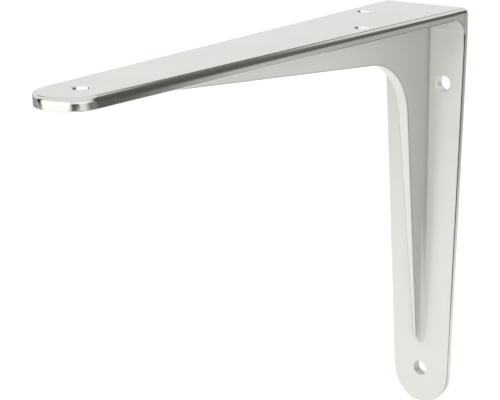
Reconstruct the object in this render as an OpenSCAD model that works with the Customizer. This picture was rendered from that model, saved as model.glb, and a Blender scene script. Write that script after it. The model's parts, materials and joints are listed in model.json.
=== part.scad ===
/* [Arms] */
// Length of the shelf arm, from the wall face to its tip
arm_len = 240; // [150:1:360]
// Height of the wall leg, from the shelf seat to its tip
leg_len = 195; // [120:1:300]
// Width of both arms at the corner
corner_w = 43; // [34:0.5:60]
// Length from the outer faces over which the sides stay parallel
parallel_len = 13; // [8:0.5:20]
// Radius of the shelf arm's round tip
arm_tip_r = 14; // [11:0.5:17]
// Radius of the wall leg's round tip
leg_tip_r = 15; // [12:0.5:17]
// Thickness of the shelf arm
arm_t = 5; // [3.5:0.1:8]
// Thickness of the wall leg along its middle
leg_t = 5; // [3.5:0.1:8]
// Amount by which the wall leg is thinner at its side edges than in the middle
leg_crown = 1; // [0.4:0.1:1.6]

/* [Roundings] */
// Radius of the rounded edge that runs round the outer side of the L
edge_r = 1.5; // [0.8:0.1:2]
// Radius of the outer corner, seen from the side
outer_corner_r = 4; // [2.5:0.1:6]
// Radius of the inner corner between the arms, seen from the side
inner_corner_r = 7; // [4:0.1:10]
// Radius of the small rounding that runs round the inner side of the L
inner_edge_r = 0.5; // [0.2:0.05:0.8]

/* [Web] */
// Thickness of the web in the corner
web_corner_t = 7.8; // [5:0.1:12]
// Thickness of the web at both of its ends
web_end_t = 2.4; // [1.9:0.1:4]
// Depth of the web under the shelf arm, its crest line carried on to the wall face
web_arm_root = 20.5; // [12:0.5:30]
// Depth of the web under the shelf arm at its end
web_arm_end = 2.5; // [1:0.1:4]
// Depth of the web on the wall leg, its crest line carried on to the shelf seat
web_leg_root = 20.4; // [12:0.5:30]
// Depth of the web on the wall leg at its end
web_leg_end = 4.2; // [2:0.1:5]
// Distance from the shelf arm's tip to the end of the web
web_arm_stop = 44; // [28:0.5:60]
// Distance from the wall leg's tip to the end of the web
web_leg_stop = 31; // [26:0.5:60]
// Radius of the web's inner arc, seen from the side
web_arc_r = 30; // [15:0.5:45]
// Radius with which both ends of the crest run out on the arms
web_nose_r = 6; // [5.5:0.1:12]
// Radius of the crest's two edges
crest_r = 0.85; // [0.3:0.05:0.9]
// Radius of the fillet between the web and both arms
root_r = 1.6; // [0.8:0.1:3]

/* [Screw holes] */
// Diameter of every screw hole
hole_d = 7; // [4:0.1:8]
// Distance from the shelf arm's tip to its tip hole
arm_tip_hole = 18; // [13:0.5:26]
// Distance from the wall face to the nearer of the two rear shelf holes
rear_hole_a = 35; // [25:0.5:60]
// Distance from the wall face to the farther of the two rear shelf holes
rear_hole_b = 70; // [50:0.5:110]
// Distance of both rear shelf holes from the middle plane
rear_hole_x = 12; // [10:0.1:14]
// Distance from the shelf seat down to the upper pair of wall holes
wall_hole_drop = 35.5; // [26:0.5:60]
// Distance of both upper wall holes from the middle plane
wall_hole_x = 11; // [10:0.1:14]
// Distance from the wall leg's tip up to the lower wall hole
leg_tip_hole = 17; // [13:0.5:24]
// Radius of the soft rim at the front of the upper wall holes
wall_rim_r = 1; // [0.4:0.1:1.5]
// Width of the small bevel at every other hole mouth
mouth_bevel = 0.3; // [0.1:0.05:0.6]

/* [Hidden] */
// Fineness of round shapes
$fn = 72;
// Colour of the bare cast metal
metal = [0.78, 0.78, 0.76];
// Depth by which each rounding dips past its face, so that they cross
dip = 0.01;
// The same for the rings, whose axes lean a little from those of the surfaces they round
ring_dip = 0.03;
// The same for the small rounding of the wall leg's tip, whose edge is least round
lean_dip = 0.07;
// Half of the corner width
half_w = corner_w / 2;
// Slope of the wall leg's inner face, from the middle to the side
crown_k = leg_crown / half_w;
// Reach of the web along the shelf arm
reach_a = arm_len - web_arm_stop;
// Reach of the web down the wall leg
reach_l = leg_len - web_leg_stop;
// Half thickness of the web in the corner
half_t = web_corner_t / 2;
// Thinning of the half web for each millimetre away from the wall face
thin_y = (half_t - web_end_t / 2) / reach_a;
// Thinning of the half web for each millimetre below the shelf seat
thin_z = (half_t - web_end_t / 2) / reach_l;
// Crest depth below the shelf seat, at the wall face and at the web's end
crest_a0 = arm_t + web_arm_root;
crest_a1 = arm_t + web_arm_end;
// Crest depth in front of the wall face, at the shelf seat and at the web's end
crest_l0 = leg_t + web_leg_root;
crest_l1 = leg_t + web_leg_end;
// Slopes of the two crest lines, in degrees
slope_a = atan((crest_a0 - crest_a1) / reach_a);
slope_l = atan((crest_l0 - crest_l1) / reach_l);
// Outward normals of the two crest lines in the side view (y, z)
crest_na = [-sin(slope_a), -cos(slope_a)];
crest_nl = [-cos(slope_l), -sin(slope_l)];
// Centre of the web's inner arc in the side view, at its radius from both crest lines
arc_p = -web_arc_r - cos(slope_a) * crest_a0;
arc_q = -web_arc_r - cos(slope_l) * crest_l0;
arc_det = -cos(slope_a + slope_l);
arc_c = [
    (arc_p * sin(slope_l) - cos(slope_a) * arc_q) / arc_det,
    (sin(slope_a) * arc_q - cos(slope_l) * arc_p) / arc_det
];
// Amount by which the inner arc dips past both crest lines
arc_dip = 0.02;
// Centres of the two run-outs of the crest in the side view
nose_ya = -reach_a + run_out(web_arm_end);
nose_a = [nose_ya, (web_nose_r - dip) / cos(slope_a) - crest_a0 - tan(slope_a) * nose_ya];
nose_zl = -reach_l + run_out(web_leg_end);
nose_l = [(web_nose_r - dip) / cos(slope_l) - crest_l0 - tan(slope_l) * nose_zl, nose_zl];
// Outward normals of the web's right flank, the leg's right inner face and the arm's underside
flank_n = unit([1, -thin_y, -thin_z]);
leg_n = unit([crown_k, -1, 0]);
under_n = [0, 0, -1];
// Axes that lie in the flank, near the y and the z axis
flank_u = unit([0, 1, 0] - flank_n[1] * flank_n);
flank_v = cross(flank_n, flank_u);
// Point where the flank, the leg's inner face and the shelf seat's level meet
leg_root_x = (half_t - thin_y * leg_t) / (1 - thin_y * crown_k);
// Direction along the inner corner, to the right
inner_d = unit([1, crown_k, 0]);
// Centre of the inner corner's rounding on the middle plane
inner_c = [0, -leg_t - (inner_corner_r - dip) * norm([1, crown_k]), -arm_t - inner_corner_r + dip];
// Ends of the inner corner's rounding at the side: under the arm, and on the leg
corner_ya = -inner_c[1] - crown_k * half_w;
corner_zl = -inner_c[2];
// Place of the flank at the two ends of the inner corner
inner_x = min(flank_x(inner_c[1], -arm_t), flank_x(-leg_t, inner_c[2]));
// Directions of the tapered sides
arm_side = side_dir(arm_len, arm_tip_r);
leg_side = side_dir(leg_len, leg_tip_r);
// Sub-parts of the bracket

// Vector of length one
function unit(v) = v / norm(v);

// Length over which the crest runs out on an arm from a depth h
function run_out(h) = sqrt(web_nose_r * web_nose_r - pow(max(web_nose_r - h, 0), 2));

// Half thickness of the web at a place in the side view
function flank_x(y, z) = half_t + thin_y * y + thin_z * z;

// Point on the web's right flank over a place in the side view
function on_flank(p) = [flank_x(p[0], p[1]), p[0], p[1]];

// Direction in which the right side of an arm runs to its tip, as an angle from its width
function side_dir(len, r) =
    atan2(-(len - r - parallel_len), -half_w)
    + asin(r / norm([half_w, len - r - parallel_len]));

// Point where the right side meets the tip circle, three degrees past tangency
function side_end(len, r, dir) = [r * cos(dir + 87), -(len - r) + r * sin(dir + 87)];

// Direction of the right side as drawn
function side_unit(len, r, dir) = unit(side_end(len, r, dir) - [half_w, -parallel_len]);

// Places its children in a frame given by an origin and three axes
module place(o, x, y, z) {
    multmatrix([
        [x[0], y[0], z[0], o[0]],
        [x[1], y[1], z[1], o[1]],
        [x[2], y[2], z[2], o[2]],
        [0, 0, 0, 1]
    ])
    children();
}

// Its children on the right, and mirrored on the left
module both_sides() {
    children();
    mirror([1, 0, 0])
    children();
}

// Outline of one arm seen flat: parallel, tapered and round at the tip
module arm_outline(len, r, dir, top) {
    run = side_unit(len, r, dir);
    far = [half_w, -parallel_len] + run * (len - parallel_len + 4);
    difference() {
        polygon([
            [half_w, top],
            [half_w, -parallel_len],
            far,
            [-far[0], far[1]],
            [-half_w, -parallel_len],
            [-half_w, top]
        ]);
        difference() {
            translate([-half_w, -len - 6])
            square([2 * half_w, 6 + r + r * sin(dir + 90)]);
            translate([0, -(len - r)])
            circle(r);
        }
    }
}

// Corner piece between two faces with outward normals 1 and m, less the rounding circle
module corner_profile(r, m, s, depth, sink = dip) {
    c = r - sink;
    o = [-s * c, -s * c * (1 - m[0]) / m[1]];
    a = [s * (r + depth), 0];
    b = m * s * (r + depth);
    difference() {
        polygon([o, o + a, o + a + b, o + b]);
        translate(o)
        circle(r);
    }
}

// Straight rounding along an edge from p in direction d, from a to b; s is 1 to cut and -1 to fill
module edge_strip(p, d, n1, n2, r, a, b, s, depth) {
    side = cross(d, n1);
    place(p + d * a, n1, side, d)
    linear_extrude(height = b - a)
    corner_profile(r, [n2 * n1, n2 * side], s, depth);
}

// Ring that rounds the edge of a disc of radius big; the face looks along z
module ring_outside(big, r, sweep, sink = dip) {
    rotate_extrude(angle = sweep)
    translate([big, 0])
    corner_profile(r, [0, 1], 1, 1, sink);
}

// Ring that rounds the mouth of a round opening of radius big; the face looks along z
module ring_inside(big, r, sweep) {
    rotate_extrude(angle = sweep)
    translate([big, 0])
    mirror([1, 0])
    corner_profile(r, [0, 1], 1, min(1, big / 2), ring_dip);
}

// Ring that fills the corner between a floor and a round wall of radius big
module ring_fill(big, r, sweep) {
    rotate_extrude(angle = sweep)
    translate([big, 0])
    mirror([1, 0])
    corner_profile(r, [0, 1], -1, 0.5);
}

// Side view of the web: two crest lines, the inner arc and the two run-outs
module web_outline() {
    ea = -(reach_a + 6);
    el = -(reach_l + 6);
    difference() {
        polygon([
            [-leg_t / 2, -arm_t / 2],
            [-leg_t / 2, el],
            [-crest_l0 - tan(slope_l) * el, el],
            arc_c - crest_nl * web_arc_r,
            arc_c,
            arc_c - crest_na * web_arc_r,
            [ea, -crest_a0 - tan(slope_a) * ea],
            [ea, -arm_t / 2]
        ]);
        translate(arc_c)
        circle(web_arc_r + arc_dip, $fn = 144);
        translate(nose_a)
        rotate(-slope_a)
        run_out_cut();
        translate(nose_l)
        rotate(90 + slope_l)
        run_out_cut();
    }
}

// What the run-out takes away beyond the crest's end
module run_out_cut() {
    difference() {
        translate([-20, -20])
        square([20, 40]);
        circle(web_nose_r);
    }
}

// Side view carried through the width w
module web_slab(w) {
    translate([-w / 2, 0, 0])
    rotate([90, 0, 90])
    linear_extrude(height = w)
    web_outline();
}

// Everything outside the web's right flank
module flank_cut() {
    place([half_t, 0, 0], flank_n, flank_u, flank_v)
    translate([0, -reach_a - 30, -reach_l - 30])
    cube([10, reach_a + 60, reach_l + 60]);
}

// Frame in the right flank around a place in the side view, turned by an angle
module flank_frame(c, turn) {
    place(on_flank(c), flank_u, flank_v, flank_n)
    rotate([0, 0, turn])
    children();
}

// Rounding of the crest's right edge, from one run-out to the other
module crest_cut() {
    ta = on_flank(arc_c - crest_na * web_arc_r);
    tl = on_flank(arc_c - crest_nl * web_arc_r);
    na = [0, crest_na[0], crest_na[1]];
    nl = [0, crest_nl[0], crest_nl[1]];
    da = -unit(cross(flank_n, na));
    dl = unit(cross(flank_n, nl));
    edge_strip(ta, da, flank_n, na, crest_r, 0, reach_a + arc_c[1], 1, 1);
    edge_strip(tl, dl, flank_n, nl, crest_r, 0, reach_l + arc_c[0], 1, 1);
    flank_frame(arc_c, slope_l - 4)
    ring_inside(web_arc_r + arc_dip, crest_r, 98 - slope_a - slope_l);
    flank_frame(nose_a, 180)
    ring_outside(web_nose_r, crest_r, 90 - slope_a, ring_dip);
    flank_frame(nose_l, 180 + slope_l)
    ring_outside(web_nose_r, crest_r, 90 - slope_l, ring_dip);
}

// Right fillet between the web and both arms, round the inner corner
module root_fillet() {
    pa = [half_t - thin_z * arm_t, 0, -arm_t];
    pl = [leg_root_x, -leg_t + crown_k * leg_root_x, 0];
    da = -unit(cross(flank_n, under_n));
    dl = unit(cross(flank_n, leg_n));
    edge_strip(pa, da, flank_n, under_n, root_r, 3, reach_a + 3, -1, 0.5);
    edge_strip(pl, dl, flank_n, leg_n, root_r, 3, reach_l + 3, -1, 0.5);
    place(inner_c + inner_d * inner_x / inner_d[0], -leg_n, [0, 0, 1], inner_d)
    ring_fill(inner_corner_r, root_r, 90);
}

// The web with its rounded crest and its root fillets
module web() {
    difference() {
        web_slab(web_corner_t + 1);
        both_sides() {
            flank_cut();
            crest_cut();
        }
    }
    intersection() {
        web_slab(web_corner_t + 4 * root_r);
        both_sides()
        root_fillet();
    }
}

// The leg's crowned section, carried along its height
module crown() {
    translate([0, 0, -leg_len - 1])
    linear_extrude(height = leg_len + 2)
    polygon([
        [-half_w - 1, 1],
        [half_w + 1, 1],
        [half_w + 1, -leg_t + crown_k * (half_w + 1)],
        [0, -leg_t],
        [-half_w - 1, -leg_t + crown_k * (half_w + 1)]
    ]);
}

// The two arms as plates, joined by the inner corner's rounding
module plates() {
    translate([0, 0, -arm_t])
    linear_extrude(height = arm_t)
    arm_outline(arm_len, arm_tip_r, arm_side, 0);
    intersection() {
        rotate([90, 0, 0])
        linear_extrude(height = leg_t + 1)
        arm_outline(leg_len, leg_tip_r, leg_side, -arm_t / 2);
        crown();
    }
    intersection() {
        translate([-half_w, -leg_t - 2 * inner_corner_r, -arm_t - 2 * inner_corner_r])
        cube([corner_w, leg_t + 2 * inner_corner_r, arm_t + 2 * inner_corner_r]);
        both_sides()
        edge_strip([0, -leg_t, -arm_t], inner_d, leg_n, under_n, inner_corner_r, -1, half_w + 2, -1, 1);
    }
}

// Rounding of the outer edges, on the right side
module side_cut() {
    ra = side_unit(arm_len, arm_tip_r, arm_side);
    rl = side_unit(leg_len, leg_tip_r, leg_side);
    oc = outer_corner_r - dip;
    edge_strip([half_w, 0, 0], [0, -1, 0], [1, 0, 0], [0, 0, 1], edge_r, -1, parallel_len + 3, 1, 1);
    edge_strip([half_w, 0, 0], [0, 0, -1], [1, 0, 0], [0, 1, 0], edge_r, -1, parallel_len + 3, 1, 1);
    edge_strip(
        [half_w, -parallel_len, 0], [ra[0], ra[1], 0], [-ra[1], ra[0], 0], [0, 0, 1],
        edge_r, -3, arm_len - arm_tip_r - parallel_len + 4, 1, 1
    );
    edge_strip(
        [half_w, 0, -parallel_len], [rl[0], 0, rl[1]], [-rl[1], 0, rl[0]], [0, 1, 0],
        edge_r, -3, leg_len - leg_tip_r - parallel_len + 4, 1, 1
    );
    place([half_w, -oc, -oc], [0, 1, 0], [0, 0, 1], [1, 0, 0])
    ring_outside(outer_corner_r, edge_r, 90);
}

// Rounding of the outer corner, seen from the side
module corner_cut() {
    edge_strip([0, 0, 0], [1, 0, 0], [0, 1, 0], [0, 0, 1], outer_corner_r, -half_w - 1, half_w + 1, 1, 1);
}

// Rounding of the outer edge round both tips
module tip_cuts() {
    place([0, -(arm_len - arm_tip_r), 0], [-1, 0, 0], [0, -1, 0], [0, 0, 1])
    rotate([0, 0, -(arm_side + 90)])
    ring_outside(arm_tip_r, edge_r, 180 + 2 * (arm_side + 90));
    place([0, 0, -(leg_len - leg_tip_r)], [1, 0, 0], [0, 0, -1], [0, 1, 0])
    rotate([0, 0, -(leg_side + 90)])
    ring_outside(leg_tip_r, edge_r, 180 + 2 * (leg_side + 90));
}

// Small rounding of the inner edges, on the right side
module inner_side_cut() {
    ra = side_unit(arm_len, arm_tip_r, arm_side);
    rl = side_unit(leg_len, leg_tip_r, leg_side);
    na = [-ra[1], ra[0], 0];
    nl = [-rl[1], 0, rl[0]];
    dl = unit(cross(leg_n, nl));
    leg_y = -leg_t + crown_k * half_w;
    edge_strip(
        [half_w, 0, -arm_t], [0, -1, 0], [1, 0, 0], under_n,
        inner_edge_r, corner_ya, max(corner_ya, parallel_len) + 3, 1, 1
    );
    edge_strip(
        [half_w, leg_y, 0], [0, 0, -1], [1, 0, 0], leg_n,
        inner_edge_r, corner_zl, max(corner_zl, parallel_len) + 3, 1, 1
    );
    edge_strip(
        [half_w, -parallel_len, -arm_t], [ra[0], ra[1], 0], na, under_n,
        inner_edge_r, max(corner_ya - parallel_len, -0.3), arm_len - arm_tip_r - parallel_len + 4, 1, 1
    );
    edge_strip(
        [half_w, leg_y, -parallel_len], dl, nl, leg_n,
        inner_edge_r, max(corner_zl - parallel_len, -0.3), leg_len - leg_tip_r - parallel_len + 4, 1, 1
    );
    place(inner_c + inner_d * half_w / inner_d[0], [0, 1, 0], [0, 0, 1], [1, 0, 0])
    rotate([0, 0, -3])
    ring_inside(inner_corner_r, inner_edge_r, 96);
    place([0, -leg_t, -(leg_len - leg_tip_r)], inner_d, [0, 0, 1], leg_n)
    rotate([0, 0, -93])
    ring_outside(leg_tip_r, inner_edge_r, leg_side + 183, lean_dip);
}

// Small rounding of the lower edge round the shelf arm's tip
module inner_tip_cut() {
    place([0, -(arm_len - arm_tip_r), -arm_t], [1, 0, 0], [0, -1, 0], [0, 0, -1])
    rotate([0, 0, -(arm_side + 90)])
    ring_outside(arm_tip_r, inner_edge_r, 180 + 2 * (arm_side + 90));
}

// Through hole along z with a small bevel at both mouths of a plate from -t to 0
module plate_hole(t) {
    big = hole_d / 2 + mouth_bevel;
    translate([0, 0, -t - 2])
    cylinder(h = t + 4, d = hole_d);
    translate([0, 0, -mouth_bevel])
    cylinder(h = 2 * mouth_bevel, r1 = hole_d / 2, r2 = big + mouth_bevel);
    translate([0, 0, -t - mouth_bevel])
    cylinder(h = 2 * mouth_bevel, r1 = big + mouth_bevel, r2 = hole_d / 2);
}

// Upper wall hole on the right: bored from the back, with a soft rim on the front
module rim_hole() {
    big = hole_d / 2 + mouth_bevel;
    front = -leg_t + crown_k * wall_hole_x;
    translate([wall_hole_x, 0, -wall_hole_drop])
    rotate([90, 0, 0]) {
        translate([0, 0, -2])
        cylinder(h = leg_t + 4, d = hole_d);
        translate([0, 0, -mouth_bevel])
        cylinder(h = 2 * mouth_bevel, r1 = big + mouth_bevel, r2 = hole_d / 2);
    }
    place([wall_hole_x, front, -wall_hole_drop], [0, 0, 1], cross(leg_n, [0, 0, 1]), leg_n)
    ring_inside(hole_d / 2 - 0.05, wall_rim_r, 360);
}

// The bracket is one casting: two arms, the web between them and the screw holes
module bracket() {
    color(metal)
    translate([0, 0, wall_hole_drop])
    difference() {
        union() {
            difference() {
                plates();
                corner_cut();
                both_sides() {
                    side_cut();
                    inner_side_cut();
                }
                tip_cuts();
                inner_tip_cut();
            }
            web();
        }
        translate([0, -(arm_len - arm_tip_hole), 0])
        plate_hole(arm_t);
        translate([-rear_hole_x, -rear_hole_a, 0])
        plate_hole(arm_t);
        translate([rear_hole_x, -rear_hole_b, 0])
        plate_hole(arm_t);
        both_sides()
        rim_hole();
        translate([0, 0, -(leg_len - leg_tip_hole)])
        rotate([-90, 0, 0])
        plate_hole(leg_t);
    }
}

bracket();
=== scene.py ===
"""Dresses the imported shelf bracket: satin cast metal, soft white studio, the photograph's camera."""

import json
import math

import bpy
from mathutils import Matrix, Vector

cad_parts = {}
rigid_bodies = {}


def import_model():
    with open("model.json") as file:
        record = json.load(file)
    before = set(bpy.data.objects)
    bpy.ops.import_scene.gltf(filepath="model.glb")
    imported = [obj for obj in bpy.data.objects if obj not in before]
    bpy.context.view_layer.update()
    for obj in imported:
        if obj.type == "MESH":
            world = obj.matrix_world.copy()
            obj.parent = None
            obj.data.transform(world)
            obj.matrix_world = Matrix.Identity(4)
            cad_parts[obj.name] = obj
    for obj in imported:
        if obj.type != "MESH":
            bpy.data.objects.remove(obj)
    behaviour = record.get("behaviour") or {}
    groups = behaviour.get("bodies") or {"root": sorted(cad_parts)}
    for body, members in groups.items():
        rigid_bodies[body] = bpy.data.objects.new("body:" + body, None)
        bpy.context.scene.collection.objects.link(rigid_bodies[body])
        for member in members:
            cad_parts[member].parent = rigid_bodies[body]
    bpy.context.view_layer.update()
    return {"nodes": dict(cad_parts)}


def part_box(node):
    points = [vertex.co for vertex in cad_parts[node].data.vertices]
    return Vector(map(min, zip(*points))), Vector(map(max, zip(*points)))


MM = 0.001

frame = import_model()
low, high = (Vector(corner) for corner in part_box("bracket"))
LEG_HEIGHT = high.z - low.z
ARM_REACH = high.y - low.y
SEAT = high.z

# The camera, found by fitting the photograph's edges: it looks at a point under the shelf arm.
AIM = Vector((0.0, -0.546 * ARM_REACH, SEAT - 0.3213 * LEG_HEIGHT))
AZIMUTH = 39.835
ELEVATION = 16.235
ROLL = -1.33
DISTANCE = 0.6174
LENS = 109.66
SENSOR = 36.0

# Thickness of both arms, as built in the solids.
ARM_THICKNESS = 5.0 * MM
# Slope of the wall leg's crowned inner face.
CROWN = 1.0 / 21.5

# Level of the light that falls on the object from all round.
ROOM_LEVEL = 0.63
# Brightness of the backdrop as seen by the camera and by the polished metal.
BACKDROP_LEVEL = 1.0


# Places that the cards are set out from, on the floor plan.
TIP = Vector((0.0, low.y + 14.0 * MM))
MIDDLE = Vector((0.0, AIM.y))

# Cards: name, set out from, bearing, reach, width, base and top above the floor, shade,
# softness of the sides and of the ends.
CARDS = (
    ("flag_right", MIDDLE, 53.0, 0.75, 1.30, 0.06, 0.48, 0.14, 0.10, 0.40),
    ("flag_right_near", TIP, 32.0, 0.46, 0.37, 0.0, 0.62, 0.10, 0.34, 0.10),
    ("flag_between", TIP, 52.0, 0.30, 0.29, 0.22, 0.62, 0.13, 0.25, 0.15),
    ("tip_shade", TIP, 10.0, 0.40, 0.36, 0.0, 0.24, 0.26, 0.42, 0.30),
    ("tip_white_side", TIP, -20.0, 0.32, 0.36, 0.14, 0.34, 1.35, 0.45, 0.25),
    ("flag_camera", MIDDLE, -48.5, 0.60, 0.36, 0.0, 0.20, 0.06, 0.15, 0.30),
    ("flag_over", TIP, 86.0, 0.45, 0.60, 0.43, 0.73, 0.22, 0.15, 0.33),
    ("flag_back", MIDDLE, 132.0, 1.20, 1.50, 0.78, 1.20, 0.10, 0.10, 0.20),
    ("tip_white", TIP, -100.0, 0.30, 0.77, 0.07, 0.37, 1.55, 0.05, 0.10),
    ("tip_black", TIP, -153.0, 0.30, 0.15, 0.08, 0.40, 0.04, 0.25, 0.20),
    ("tip_olive", TIP, 164.0, 0.30, 0.38, 0.08, 0.24, 0.40, 0.10, 0.10),
)

# Mats on the floor: name, middle on the floor plan, length, width, bearing of the length, shade, softness.
MATS = (
    ("mat_camera", (0.20, -0.25), 0.50, 0.26, -50.0, 0.06, 0.30),
    ("mat_right", (0.52, 0.92), 2.00, 1.00, 50.0, 0.55, 0.25),
)

# Outline of the polished side walls: half width at the corner and its loss along either arm.
HALF_WIDTH = (high.x - low.x) / 2
TAPER = 0.037
# Part of both tips that is polished right across.
TIP_BAND = 10.0 * MM
# Radius of the small rounding round the inner side of both arms.
INNER_ROUNDING = 0.5 * MM


class Number:
    """A number socket: arithmetic on it adds Math nodes to its shader."""

    def __init__(self, shader, socket):
        self.shader = shader
        self.socket = socket

    def maths(self, operation, *values):
        """One Math node on these values."""
        return self.shader.number("ShaderNodeMath", {"operation": operation}, *values)

    def __add__(self, other):
        return self.maths("ADD", self, other)

    __radd__ = __add__

    def __sub__(self, other):
        return self.maths("SUBTRACT", self, other)

    def __rsub__(self, other):
        return self.maths("SUBTRACT", other, self)

    def __mul__(self, other):
        return self.maths("MULTIPLY", self, other)

    __rmul__ = __mul__

    def at_least(self, other):
        return self.maths("MAXIMUM", self, other)


class Shader:
    """A node tree, with one method for every kind of node."""

    def __init__(self, owner):
        owner.use_nodes = True
        self.tree = owner.node_tree
        self.tree.nodes.clear()

    def node(self, kind, settings=None, *values, **named):
        """Adds a node: its settings first, then its sockets by order and by name."""
        node = self.tree.nodes.new(kind)
        for name, value in (settings or {}).items():
            if name == "stops":
                self.set_stops(node.color_ramp, value)
            else:
                setattr(node, name, value)
        sockets = list(zip(node.inputs, values))
        sockets += [(node.inputs[name.replace("_", " ")], value) for name, value in named.items()]
        for socket, value in sockets:
            if isinstance(value, Number):
                value = value.socket
            if isinstance(value, bpy.types.NodeSocket):
                self.tree.links.new(value, socket)
            elif value is not None:
                socket.default_value = value
        return node

    @staticmethod
    def set_stops(ramp, stops):
        """Fills a colour ramp with (place, colour) stops."""
        while len(ramp.elements) < len(stops):
            ramp.elements.new(1.0)
        for element, (place, colour) in zip(ramp.elements, stops):
            element.position = place
            element.color = (*colour, 1.0)

    def number(self, kind, settings=None, *values, output=0, **named):
        """The same, giving one of its outputs as a number."""
        return Number(self, self.node(kind, settings, *values, **named).outputs[output])

    def ramp(self, value, low_end, high_end):
        """0 below the low end, 1 above the high end, smooth between them."""
        return self.number(
            "ShaderNodeMapRange",
            {"interpolation_type": "SMOOTHSTEP"},
            value, low_end, high_end, 0.0, 1.0,
        )

    def mix_colour(self, amount, first, second):
        """A Mix node between two colours."""
        node = self.tree.nodes.new("ShaderNodeMix")
        node.data_type = "RGBA"
        for place, value in ((0, amount), (6, first), (7, second)):
            if isinstance(value, Number):
                value = value.socket
            if isinstance(value, bpy.types.NodeSocket):
                self.tree.links.new(value, node.inputs[place])
            else:
                node.inputs[place].default_value = value
        return node.outputs[2]


def polished_edges(shader, place):
    """Where the casting was belt-polished: the outer rounding and the side walls of both arms; also masks for
    painted dark lines, painted shade on the web, the leg's inner face and the web's fillets, and painted light
    in the hole bores.
    """
    normal = shader.node("ShaderNodeTexCoord").outputs["Normal"]
    parts = shader.node("ShaderNodeSeparateXYZ", None, place).outputs
    ways = shader.node("ShaderNodeSeparateXYZ", None, normal).outputs
    across, depth, height = (Number(shader, out) for out in parts)
    half = across.maths("ABSOLUTE", across)
    up = Number(shader, ways[2])
    back = Number(shader, ways[1])
    blur = 0.1 * MM
    above = shader.ramp(height, SEAT - ARM_THICKNESS, SEAT - ARM_THICKNESS + blur)
    sunk = depth - half * CROWN + ARM_THICKNESS
    behind = shader.ramp(sunk, 0.0, blur)
    reach = (0 - depth).at_least(SEAT - height)
    rim = shader.ramp(half + reach * TAPER, HALF_WIDTH - 2.2 * MM, HALF_WIDTH - 1.8 * MM)
    tips = shader.ramp(reach * -1, TIP_BAND - ARM_REACH, TIP_BAND - ARM_REACH - blur)
    leg_tip = 1 - shader.ramp(height, low.z + TIP_BAND, low.z + TIP_BAND + blur)
    not_seat = 1 - shader.ramp(up, 0.93, 0.995)
    not_wall = 1 - shader.ramp(back, 0.93, 0.995)
    outline = rim.at_least(tips).at_least(leg_tip)
    slant = Number(shader, ways[0])
    slant = slant.maths("ABSOLUTE", slant)
    in_corner = rim * (1 - above) * (1 - behind)
    corner_wall = in_corner * shader.ramp(slant, 0.80, 0.95)
    polish = above.at_least(behind).at_least(corner_wall) * not_seat * not_wall * outline
    # Painted reflection: a near-black band along the small inner rounding, standing in for the dark that the
    # rounding reflects.
    painted_line = shader.ramp(sunk, 0.0, blur) * (1 - shader.ramp(sunk, 1.5 * INNER_ROUNDING, 2.5 * INNER_ROUNDING))
    bend = shader.ramp(slant, 0.12, 0.45) * (1 - shader.ramp(slant, 0.93, 0.995))
    # Painted shade: the web's fillets and the roundings of its crest are darkened.
    root = bend * (1 - shader.ramp(half, 6.0 * MM, 6.4 * MM)) * (1 - above) * (1 - shader.ramp(sunk, 0.0, blur))
    before_tip = shader.ramp(depth, 20.0 * MM - ARM_REACH, 26.0 * MM - ARM_REACH)
    # Painted light: the bores of the shelf holes get a near-white colour so they read bright.
    bore = above * (1 - outline) * (1 - shader.ramp(up.maths("ABSOLUTE", up), 0.5, 0.8))
    # Painted shade: a dark line along the lower edge of the arm's side, where the web below lies in shade.
    painted_under_shade = 1 - shader.ramp(height, SEAT - ARM_THICKNESS + 0.3 * MM, SEAT - ARM_THICKNESS + 0.9 * MM)
    painted_under_shade = painted_under_shade * above * shader.ramp(depth, -0.115, -0.085) * 0.6
    painted_under_shade = painted_under_shade * (1 - shader.ramp(depth, -13.0 * MM, -11.0 * MM))
    painted_line = painted_line * (1 - shader.ramp(height, SEAT - 13.0 * MM, SEAT - 11.0 * MM))
    # Painted shade: the web's flanks near the corner and the leg's inner face are darkened; on the leg's face
    # more so higher up and further from the web.
    flank = shader.ramp(slant, 0.9, 0.97) * (1 - shader.ramp(half, 6.0 * MM, 6.4 * MM)) * (1 - above)
    front = (1 - shader.ramp(back, -0.95, -0.70)) * (1 - above) * 0.10
    sideways = 0.1 + shader.ramp(half, 6.0 * MM, 18.0 * MM) * 3.0
    inner = front * 1.3 + front * shader.ramp(height, -0.120, 0.010) * sideways
    high_up = shader.ramp(height, -0.095, -0.060)
    off_face = shader.ramp(depth * -1, 5.5 * MM, 9.0 * MM) * shader.ramp(height, -0.134, -0.118)
    painted_web_shade = flank * shader.ramp(depth, -90.0 * MM, 0.0) * high_up.at_least(off_face) + inner
    # The painted shade stays full on the crest and weakens towards the foot elsewhere.
    on_crest = shader.ramp(depth * -1, 8.5 * MM, 9.5 * MM)
    root = root * on_crest.at_least(0.3 + shader.ramp(height, -0.110, -0.060) * 0.7)
    painted_line = painted_line * (0.5 + shader.ramp(height, -0.135, -0.095) * 0.5)
    # Painted shade: the lower bores of the leg are darkened too.
    leg_bore = behind * (1 - above) * (1 - outline) * (1 - shader.ramp(back.maths("ABSOLUTE", back), 0.5, 0.8))
    painted_web_shade = painted_web_shade + leg_bore * (1 - shader.ramp(height, -0.110, -0.090)) * 0.9
    # Painted dark lines: the rounding band, the shade under the arm and the bends of the inner corner.
    painted_dark_line = polish * (painted_line * (1 - above) + painted_under_shade)
    painted_dark_line = painted_dark_line.at_least(in_corner * bend)
    return polish, polish * before_tip, painted_dark_line, root, bore, painted_web_shade


def along_height(shader, place):
    """Height of a point, as a number."""
    return Number(shader, shader.node("ShaderNodeSeparateXYZ", None, place).outputs[2])


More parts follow.
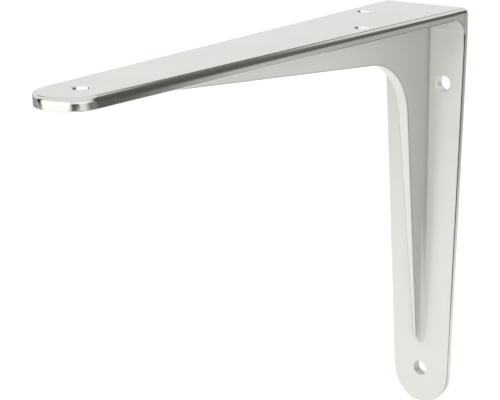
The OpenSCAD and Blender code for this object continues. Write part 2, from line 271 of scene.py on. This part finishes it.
def satin_metal():
    """Light cast metal, tumbled to a satin and lacquered: faint cloudy mottling, fine grain, brighter edges;
    with painted dark lines, painted shade on the web and in its fillets, and painted light in the hole bores.
    """
    material = bpy.data.materials.new("satin_metal")
    shader = Shader(material)
    place = shader.node("ShaderNodeTexCoord").outputs["Object"]

    polish, side, painted_line, root, bore, painted_web_shade = polished_edges(shader, place)
    cloud = shader.number("ShaderNodeTexNoise", None, place, Scale=45.0, Detail=3.0, Roughness=0.55)
    peel = shader.number("ShaderNodeTexNoise", None, place, Scale=420.0, Detail=2.0, Roughness=0.5)
    grain = shader.number("ShaderNodeTexNoise", None, place, Scale=2600.0, Detail=2.0, Roughness=0.6)
    speck = shader.number("ShaderNodeTexNoise", None, place, Scale=900.0, Detail=4.0, Roughness=0.7)
    pits = shader.number(
        "ShaderNodeMapRange", {"interpolation_type": "SMOOTHSTEP"}, speck, 0.66, 0.74, 0.0, 1.0
    )

    soft = shader.node("ShaderNodeBevel", {"samples": 4}, Radius=0.25 * MM).outputs[0]
    plain = shader.node("ShaderNodeNewGeometry").outputs["Normal"]
    facing = shader.number(
        "ShaderNodeVectorMath", {"operation": "DOT_PRODUCT"}, soft, plain, output="Value"
    )
    edge = shader.number("ShaderNodeMapRange", None, 1 - facing, 0.0, 0.12, 0.0, 1.0)

    pale = (0.840, 0.840, 0.815, 1.0)
    dull = (0.780, 0.780, 0.754, 1.0)
    painted_web_shade_colour = (0.585, 0.585, 0.560, 1.0)
    pit_colour = (0.60, 0.60, 0.58, 1.0)
    bright = (0.84, 0.84, 0.83, 1.0)
    polished = (0.665, 0.665, 0.635, 1.0)
    # Colour of the painted dark lines.
    painted_line_colour = (0.10, 0.10, 0.095, 1.0)
    root_shade_colour = (0.30, 0.30, 0.285, 1.0)
    # Colour of the painted light in the hole bores.
    painted_bore_light_colour = (0.95, 0.95, 0.94, 1.0)
    colour = shader.mix_colour(cloud * 0.55 + grain * 0.25, pale, dull)
    colour = shader.mix_colour(pits * 0.25, colour, pit_colour)
    colour = shader.mix_colour(edge * 0.5, colour, bright)
    # Painted shade on the web, the leg's inner face and the lower leg bores.
    colour = shader.mix_colour(painted_web_shade, colour, painted_web_shade_colour)
    colour = shader.mix_colour(polish * 0.9, colour, polished)
    # Painted reflection and painted shade: dark lines along the inner roundings, under the arm and in the inner
    # corner.
    colour = shader.mix_colour(painted_line, colour, painted_line_colour)
    # Painted shade in the web's fillets and crest roundings.
    colour = shader.mix_colour(root * 0.75, colour, root_shade_colour)
    # Painted light in the hole bores.
    colour = shader.mix_colour(bore, colour, painted_bore_light_colour)

    satin = 0.30 + cloud * 0.08 + grain * 0.05 + pits * 0.05 - edge * 0.05
    roughness = satin + (polish + bore) * (0.13 - satin)
    height = peel * 0.35 + grain * 0.10 - pits * 0.35
    up = along_height(shader, place)
    belt = shader.ramp(up, SEAT - 3.8 * MM, SEAT - 1.0 * MM) * side * 0.30
    belt = belt + shader.ramp(up, SEAT - 2.4 * MM, SEAT - 1.4 * MM) * (polish - side) * 0.30
    lean = shader.node("ShaderNodeCombineXYZ", None, 0.0, 0.0, belt + bore * 0.5).outputs[0]
    crowned = shader.node("ShaderNodeVectorMath", {"operation": "ADD"}, soft, lean).outputs[0]
    crowned = shader.node("ShaderNodeVectorMath", {"operation": "NORMALIZE"}, crowned).outputs[0]
    bump = shader.node(
        "ShaderNodeBump", None, Strength=0.12, Distance=0.05 * MM, Height=height, Normal=crowned
    )
    surface = shader.node(
        "ShaderNodeBsdfPrincipled",
        None,
        Base_Color=colour,
        Metallic=0.42 + (polish + bore) * 0.58,
        Roughness=roughness,
        Normal=bump.outputs[0],
    )
    shader.node("ShaderNodeOutputMaterial", None, surface.outputs[0])
    return material


def floor_paper():
    """Pale paper that the camera and the metal see as the backdrop's white, with the object's shadow kept."""
    material = bpy.data.materials.new("floor_paper")
    shader = Shader(material)
    rays = shader.node("ShaderNodeLightPath")
    seen = (
        Number(shader, rays.outputs["Is Camera Ray"])
        .at_least(Number(shader, rays.outputs["Is Glossy Ray"]))
        .at_least(Number(shader, rays.outputs["Is Transmission Ray"]))
    )
    place = shader.node("ShaderNodeTexCoord").outputs["Object"]
    fibre = shader.number("ShaderNodeTexNoise", None, place, Scale=600.0, Detail=3.0)
    paper = shader.mix_colour(fibre, (0.80, 0.80, 0.80, 1.0), (0.82, 0.82, 0.82, 1.0))
    matt = shader.node("ShaderNodeBsdfDiffuse", None, paper)
    glow = shader.node("ShaderNodeEmission", None, (1.0, 1.0, 1.0, 1.0), seen * 0.46)
    both = shader.node("ShaderNodeAddShader", None, matt.outputs[0], glow.outputs[0])
    shader.node("ShaderNodeOutputMaterial", None, both.outputs[0])
    return material


def studio_room():
    """White all round for the camera and the metal, and an even soft light on the object."""
    world = bpy.data.worlds.new("studio_room")
    bpy.context.scene.world = world
    shader = Shader(world)
    rays = shader.node("ShaderNodeLightPath")
    seen = (
        Number(shader, rays.outputs["Is Camera Ray"])
        .at_least(Number(shader, rays.outputs["Is Glossy Ray"]))
        .at_least(Number(shader, rays.outputs["Is Transmission Ray"]))
    )
    level = seen * (BACKDROP_LEVEL - ROOM_LEVEL) + ROOM_LEVEL
    light = shader.node("ShaderNodeBackground", None, (1.0, 1.0, 1.0, 1.0), level)
    shader.node("ShaderNodeOutputWorld", None, light.outputs[0])


def flat_panel(name, size_x, size_y, material):
    """A flat rectangle of cloth, card or paper."""
    mesh = bpy.data.meshes.new(name)
    x, y = size_x / 2, size_y / 2
    mesh.from_pydata([(-x, -y, 0), (x, -y, 0), (x, y, 0), (-x, y, 0)], [], [(0, 1, 2, 3)])
    mesh.materials.append(material)
    panel = bpy.data.objects.new(name, mesh)
    bpy.context.scene.collection.objects.link(panel)
    return panel


def direction(azimuth, elevation):
    """Unit vector; azimuth runs from +X towards +Y."""
    a, e = math.radians(azimuth), math.radians(elevation)
    return Vector((math.cos(e) * math.cos(a), math.cos(e) * math.sin(a), math.sin(e)))


def facing_turn(towards):
    """Rotation that turns +Z of a panel or -Z of a lamp's back to look along a vector."""
    return towards.to_track_quat("Z", "Y").to_matrix().to_4x4()


def card_material(name, shade, soft_sides, soft_ends):
    """Card that glows at its shade and only shows in the metal, fading out along its edges."""
    material = bpy.data.materials.new(name)
    shader = Shader(material)
    place = shader.node("ShaderNodeTexCoord").outputs["Generated"]
    parts = shader.node("ShaderNodeSeparateXYZ", None, place).outputs
    across, along = (Number(shader, out) for out in parts[:2])
    side = 0.5 - across.maths("ABSOLUTE", across - 0.5)
    end = 0.5 - along.maths("ABSOLUTE", along - 0.5)
    inside = shader.ramp(side, 0.0, soft_sides) * shader.ramp(end, 0.0, soft_ends)
    clear = shader.node("ShaderNodeBsdfTransparent").outputs[0]
    glow = shader.node("ShaderNodeEmission", None, (shade, shade, shade * 0.95, 1.0), 1.0).outputs[0]
    card = shader.node("ShaderNodeMixShader", None, inside, clear, glow)
    shader.node("ShaderNodeOutputMaterial", None, card.outputs[0])
    return material


def only_in_metal(card):
    """Hides a card from the camera and keeps it from lighting or shading anything matt."""
    card.visible_camera = False
    card.visible_diffuse = False
    card.visible_shadow = False


def studio_card(name, start, bearing, reach, width, base, top, shade, soft_sides, soft_ends):
    """An upright card, seen only in reflections; lengths in metres, heights above the floor."""
    way = direction(bearing, 0.0)
    card = flat_panel(name, width, top - base, card_material(name, shade, soft_sides, soft_ends))
    middle = Vector((start.x, start.y, low.z + (base + top) / 2)) + way * reach
    card.matrix_world = Matrix.Translation(middle) @ facing_turn(-way)
    only_in_metal(card)


def studio_mat(name, middle, length, width, bearing, shade, softness):
    """A mat on the floor, seen only in reflections."""
    mat = flat_panel(name, length, width, card_material(name, shade, softness, softness))
    turn = Matrix.Rotation(math.radians(bearing), 4, "Z")
    mat.matrix_world = Matrix.Translation((*middle, low.z + 0.5 * MM)) @ turn
    only_in_metal(mat)


def soft_lamp(name, azimuth, elevation, size, level, reach=1.4):
    """A square softbox turned to the object; its level is its brightness next to the white backdrop."""
    lamp = bpy.data.lights.new(name, "AREA")
    lamp.shape = "SQUARE"
    lamp.size = size
    lamp.energy = level * size * size * math.pi
    way = direction(azimuth, elevation)
    holder = bpy.data.objects.new(name, lamp)
    bpy.context.scene.collection.objects.link(holder)
    holder.matrix_world = Matrix.Translation(AIM + way * reach) @ facing_turn(way)
    holder.visible_glossy = False


def smooth_casting(casting):
    """Smooth shading between the casting's faces, broken only at its sharp edges."""
    group = bpy.data.node_groups.new("smooth_faces", "GeometryNodeTree")
    for way in ("INPUT", "OUTPUT"):
        group.interface.new_socket("Geometry", in_out=way, socket_type="NodeSocketGeometry")
    start = group.nodes.new("NodeGroupInput")
    smooth = group.nodes.new("GeometryNodeSetShadeSmooth")
    end = group.nodes.new("NodeGroupOutput")
    group.links.new(start.outputs[0], smooth.inputs["Geometry"])
    group.links.new(smooth.outputs[0], end.inputs[0])
    weld = casting.modifiers.new("joined_faces", "WELD")
    weld.merge_threshold = 0.0005 * MM
    casting.modifiers.new("smooth_faces", "NODES").node_group = group
    split = casting.modifiers.new("sharp_edges", "EDGE_SPLIT")
    split.split_angle = math.radians(32)
    split.use_edge_sharp = False
    even = casting.modifiers.new("even_normals", "WEIGHTED_NORMAL")
    even.mode = "FACE_AREA"
    even.weight = 80
    even.keep_sharp = True


def camera():
    """The photograph's camera."""
    azimuth = math.radians(AZIMUTH)
    elevation = math.radians(ELEVATION)
    roll = math.radians(ROLL)
    forward = Vector((
        -math.sin(azimuth) * math.cos(elevation),
        math.cos(azimuth) * math.cos(elevation),
        -math.sin(elevation),
    ))
    level_right = Vector((math.cos(azimuth), math.sin(azimuth), 0.0))
    level_up = level_right.cross(forward)
    right = level_right * math.cos(roll) + level_up * math.sin(roll)
    up = level_up * math.cos(roll) - level_right * math.sin(roll)
    place = AIM - forward * DISTANCE
    data = bpy.data.cameras.new("camera")
    data.sensor_fit = "HORIZONTAL"
    data.sensor_width = SENSOR
    data.lens = LENS
    data.clip_start = 0.02
    data.clip_end = 50.0
    holder = bpy.data.objects.new("camera", data)
    bpy.context.scene.collection.objects.link(holder)
    turn = Matrix((right, up, -forward)).transposed().to_4x4()
    holder.matrix_world = Matrix.Translation(place) @ turn
    bpy.context.scene.camera = holder


def dress():
    """Casting, studio and camera."""
    casting = frame["nodes"]["bracket"]
    casting = casting if isinstance(casting, bpy.types.Object) else bpy.data.objects[str(casting)]
    casting.data.materials.clear()
    casting.data.materials.append(satin_metal())
    smooth_casting(casting)

    floor = flat_panel("floor", 12.0, 12.0, floor_paper())
    floor.location = (0.0, 0.0, low.z)
    studio_room()
    soft_lamp("key_softbox", -140.0, 60.0, 1.0, 1.9)
    soft_lamp("fill_softbox", -34.0, 8.0, 0.4, 1.5, 0.5)
    for card in CARDS:
        studio_card(*card)
    for mat in MATS:
        studio_mat(*mat)
    camera()
    bpy.context.scene.view_settings.view_transform = "Standard"


dress()
